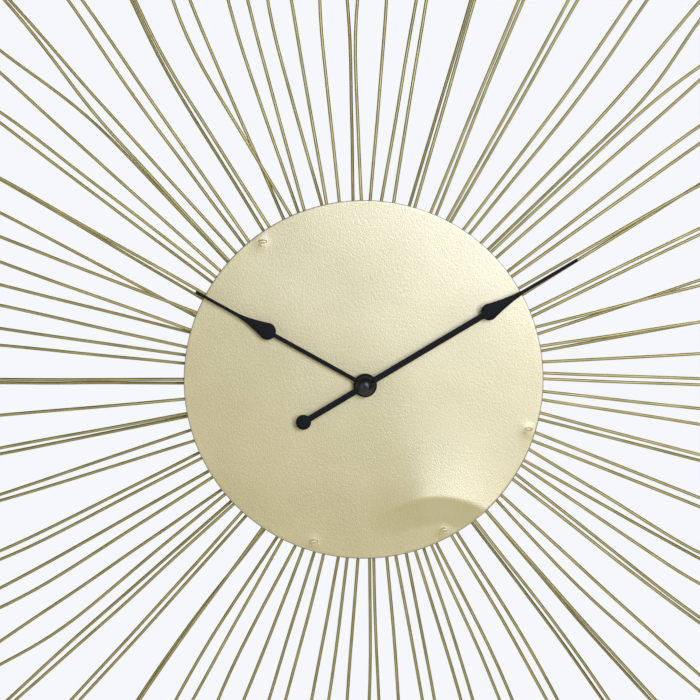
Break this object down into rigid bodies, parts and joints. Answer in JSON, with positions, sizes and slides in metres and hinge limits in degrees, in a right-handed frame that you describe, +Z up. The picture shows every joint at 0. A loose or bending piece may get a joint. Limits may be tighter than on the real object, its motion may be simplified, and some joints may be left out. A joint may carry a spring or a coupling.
{
  "type": "wall clock",
  "caption": "Round wall clock with a plain metal dial, spade hands and a wide sunburst of bent wire petals, hung by a keyhole plate.",
  "frame": {"origin": "the nail on the wall plane, where the top of the keyhole slot bears", "axes": "+Y into the wall, -Y out of the dial, +Z up to twelve, +X to three as the clock is read"},
  "size_m": [0.7924, 0.0402, 0.7922],
  "materials": {
    "champagne_paint": "satin metallic powder coat with a fine grain",
    "black_paint": "semi-matt stoved paint",
    "black_plastic": "moulded ABS",
    "rubber": "moulded rubber",
    "brass": "turned brass",
    "steel": "bright steel",
    "white_nylon": "moulded acetal",
    "copper_winding": "enamelled copper wire",
    "board_green": "solder-masked board",
    "battery_sleeve": "printed sleeve, plain"
  },
  "bodies": {
    "frame": {"back_cover": "black_plastic", "bushing_nut": "brass", "circuit_board": "board_green", "contact_left": "steel", "contact_right": "steel", "dial_disc": "champagne_paint", "dial_post_1": "champagne_paint", "dial_post_2": "champagne_paint", "dial_post_3": "champagne_paint", "dial_post_4": "champagne_paint", "dial_post_5": "champagne_paint", "dial_post_6": "champagne_paint", "dial_post_7": "champagne_paint", "dial_post_8": "champagne_paint", "dial_washer": "brass", "drive_coil": "copper_winding", "front_hoop": "champagne_paint", "hanger_plate": "champagne_paint", "hoop_post_1": "champagne_paint", "hoop_post_2": "champagne_paint", "hoop_post_3": "champagne_paint", "hoop_post_4": "champagne_paint", "motion_post": "steel", "motor_unit": "black_plastic", "movement_case": "black_plastic", "petal_wire_1": "champagne_paint", "petal_wire_2": "champagne_paint", "petal_wire_3": "champagne_paint", "petal_wire_4": "champagne_paint", "petal_wire_5": "champagne_paint", "petal_wire_6": "champagne_paint", "petal_wire_7": "champagne_paint", "petal_wire_8": "champagne_paint", "quartz_crystal": "steel", "rear_hoop": "champagne_paint", "rubber_gasket": "rubber", "threaded_bushing": "brass", "wall_pad_1": "rubber", "wall_pad_2": "rubber", "wall_pad_3": "rubber"},
    "minute_works": {"minute_hand": "black_paint", "hand_cap": "black_paint", "minute_arbor": "steel", "cannon_pinion": "steel", "centre_wheel": "white_nylon"},
    "hour_works": {"hour_hand": "black_paint", "hour_pipe": "white_nylon", "hour_wheel": "white_nylon"},
    "motion_works": {"motion_wheel": "white_nylon", "motion_pinion": "white_nylon"},
    "setting_works": {"setting_knob": "black_plastic", "setting_stem": "steel", "setting_pinion": "white_nylon"},
    "third_works": {"third_pinion": "brass"},
    "battery_cell": {"battery": "battery_sleeve"}
  },
  "joints": [
    {"name": "minute_spin", "type": "hinge", "parent": "frame", "child": "minute_works", "pos_m": [0.0006, -0.034, -0.1073], "axis": [0, 1, 0], "continuous": true},
    {"name": "hour_spin", "type": "hinge", "parent": "frame", "child": "hour_works", "pos_m": [0.0006, -0.032, -0.1073], "axis": [0, 1, 0], "continuous": true},
    {"name": "motion_spin", "type": "hinge", "parent": "frame", "child": "motion_works", "pos_m": [-0.009, -0.018, -0.1073], "axis": [0, 1, 0], "continuous": true},
    {"name": "setting_spin", "type": "hinge", "parent": "frame", "child": "setting_works", "pos_m": [-0.0186, -0.0045, -0.1073], "axis": [0, 1, 0], "continuous": true},
    {"name": "third_spin", "type": "hinge", "parent": "frame", "child": "third_works", "pos_m": [0.0108, -0.015, -0.0983], "axis": [0, 1, 0], "continuous": true},
    {"name": "battery_slide", "type": "slide", "parent": "frame", "child": "battery_cell", "axis": [0, 1, 0], "range_m": [0, 0.022]}
  ],
  "couplings": [
    {"joint": "hour_spin", "follows": "minute_spin", "ratio": 0.083333},
    {"joint": "motion_spin", "follows": "minute_spin", "ratio": -0.33333},
    {"joint": "setting_spin", "follows": "minute_spin", "ratio": 1},
    {"joint": "third_spin", "follows": "minute_spin", "ratio": -7.5}
  ]
}
